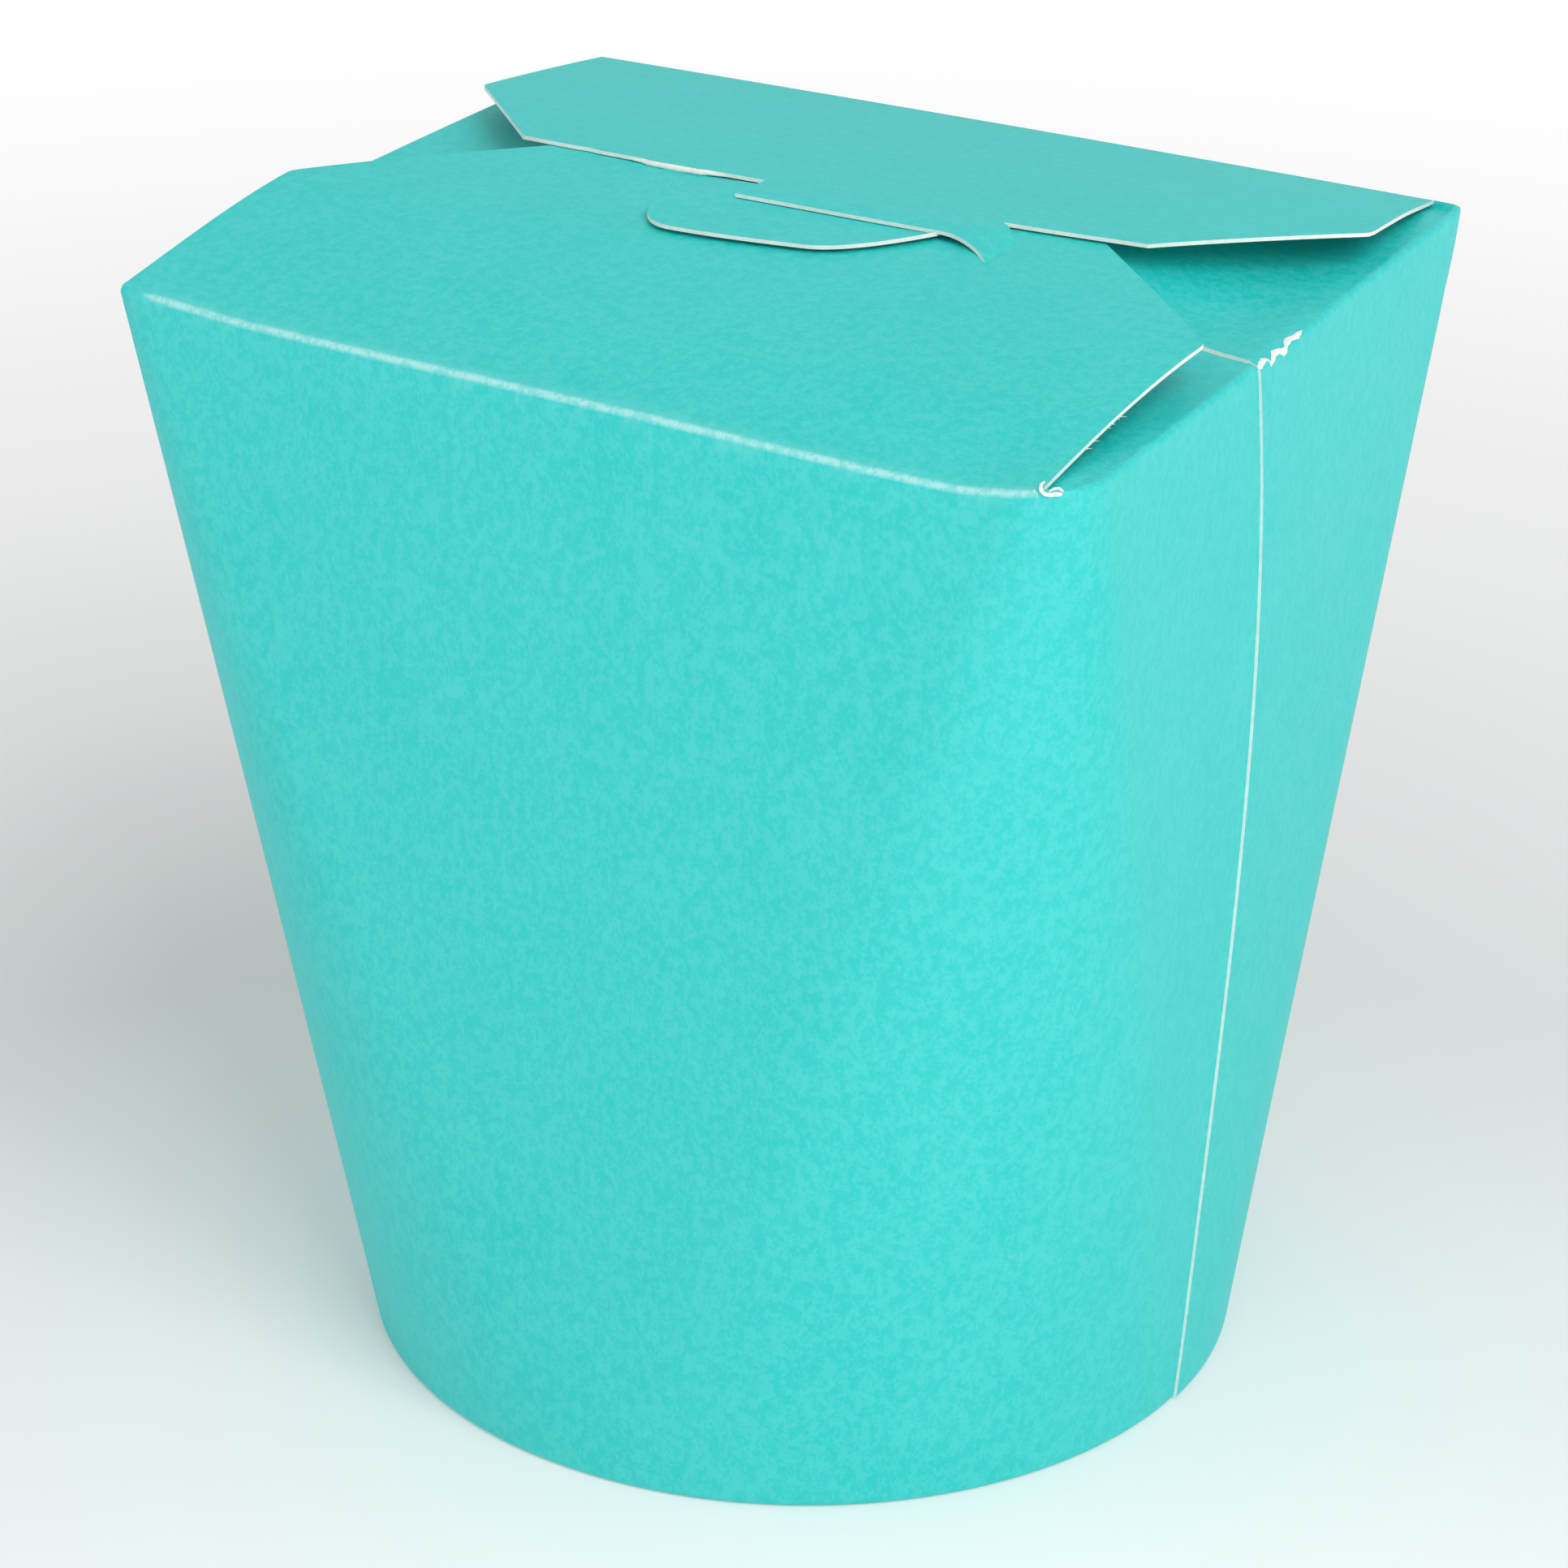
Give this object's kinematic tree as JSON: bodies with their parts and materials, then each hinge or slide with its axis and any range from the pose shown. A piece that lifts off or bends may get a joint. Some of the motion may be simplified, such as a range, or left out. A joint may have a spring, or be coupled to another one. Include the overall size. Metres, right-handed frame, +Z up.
{
  "type": "noodle takeaway box",
  "caption": "Shut noodle takeaway box of teal board: round base, square top, glued side seam, top flaps folded in and held by a hooked tongue.",
  "frame": {"origin": "under the middle of the foot ring, on the surface the box stands on", "axes": "+Z up, front crease towards -Y, glued seam on the +X side"},
  "size_m": [0.1038, 0.0911, 0.1203],
  "materials": {
    "printed_board": "matt teal board with a fine fibrous grain, off-white at cut, torn and scuffed edges",
    "base_board": "matt teal board disc with a pressed rim"
  },
  "bodies": {
    "root": {"carton": "printed_board", "base_disc": "base_board"}
  },
  "joints": []
}
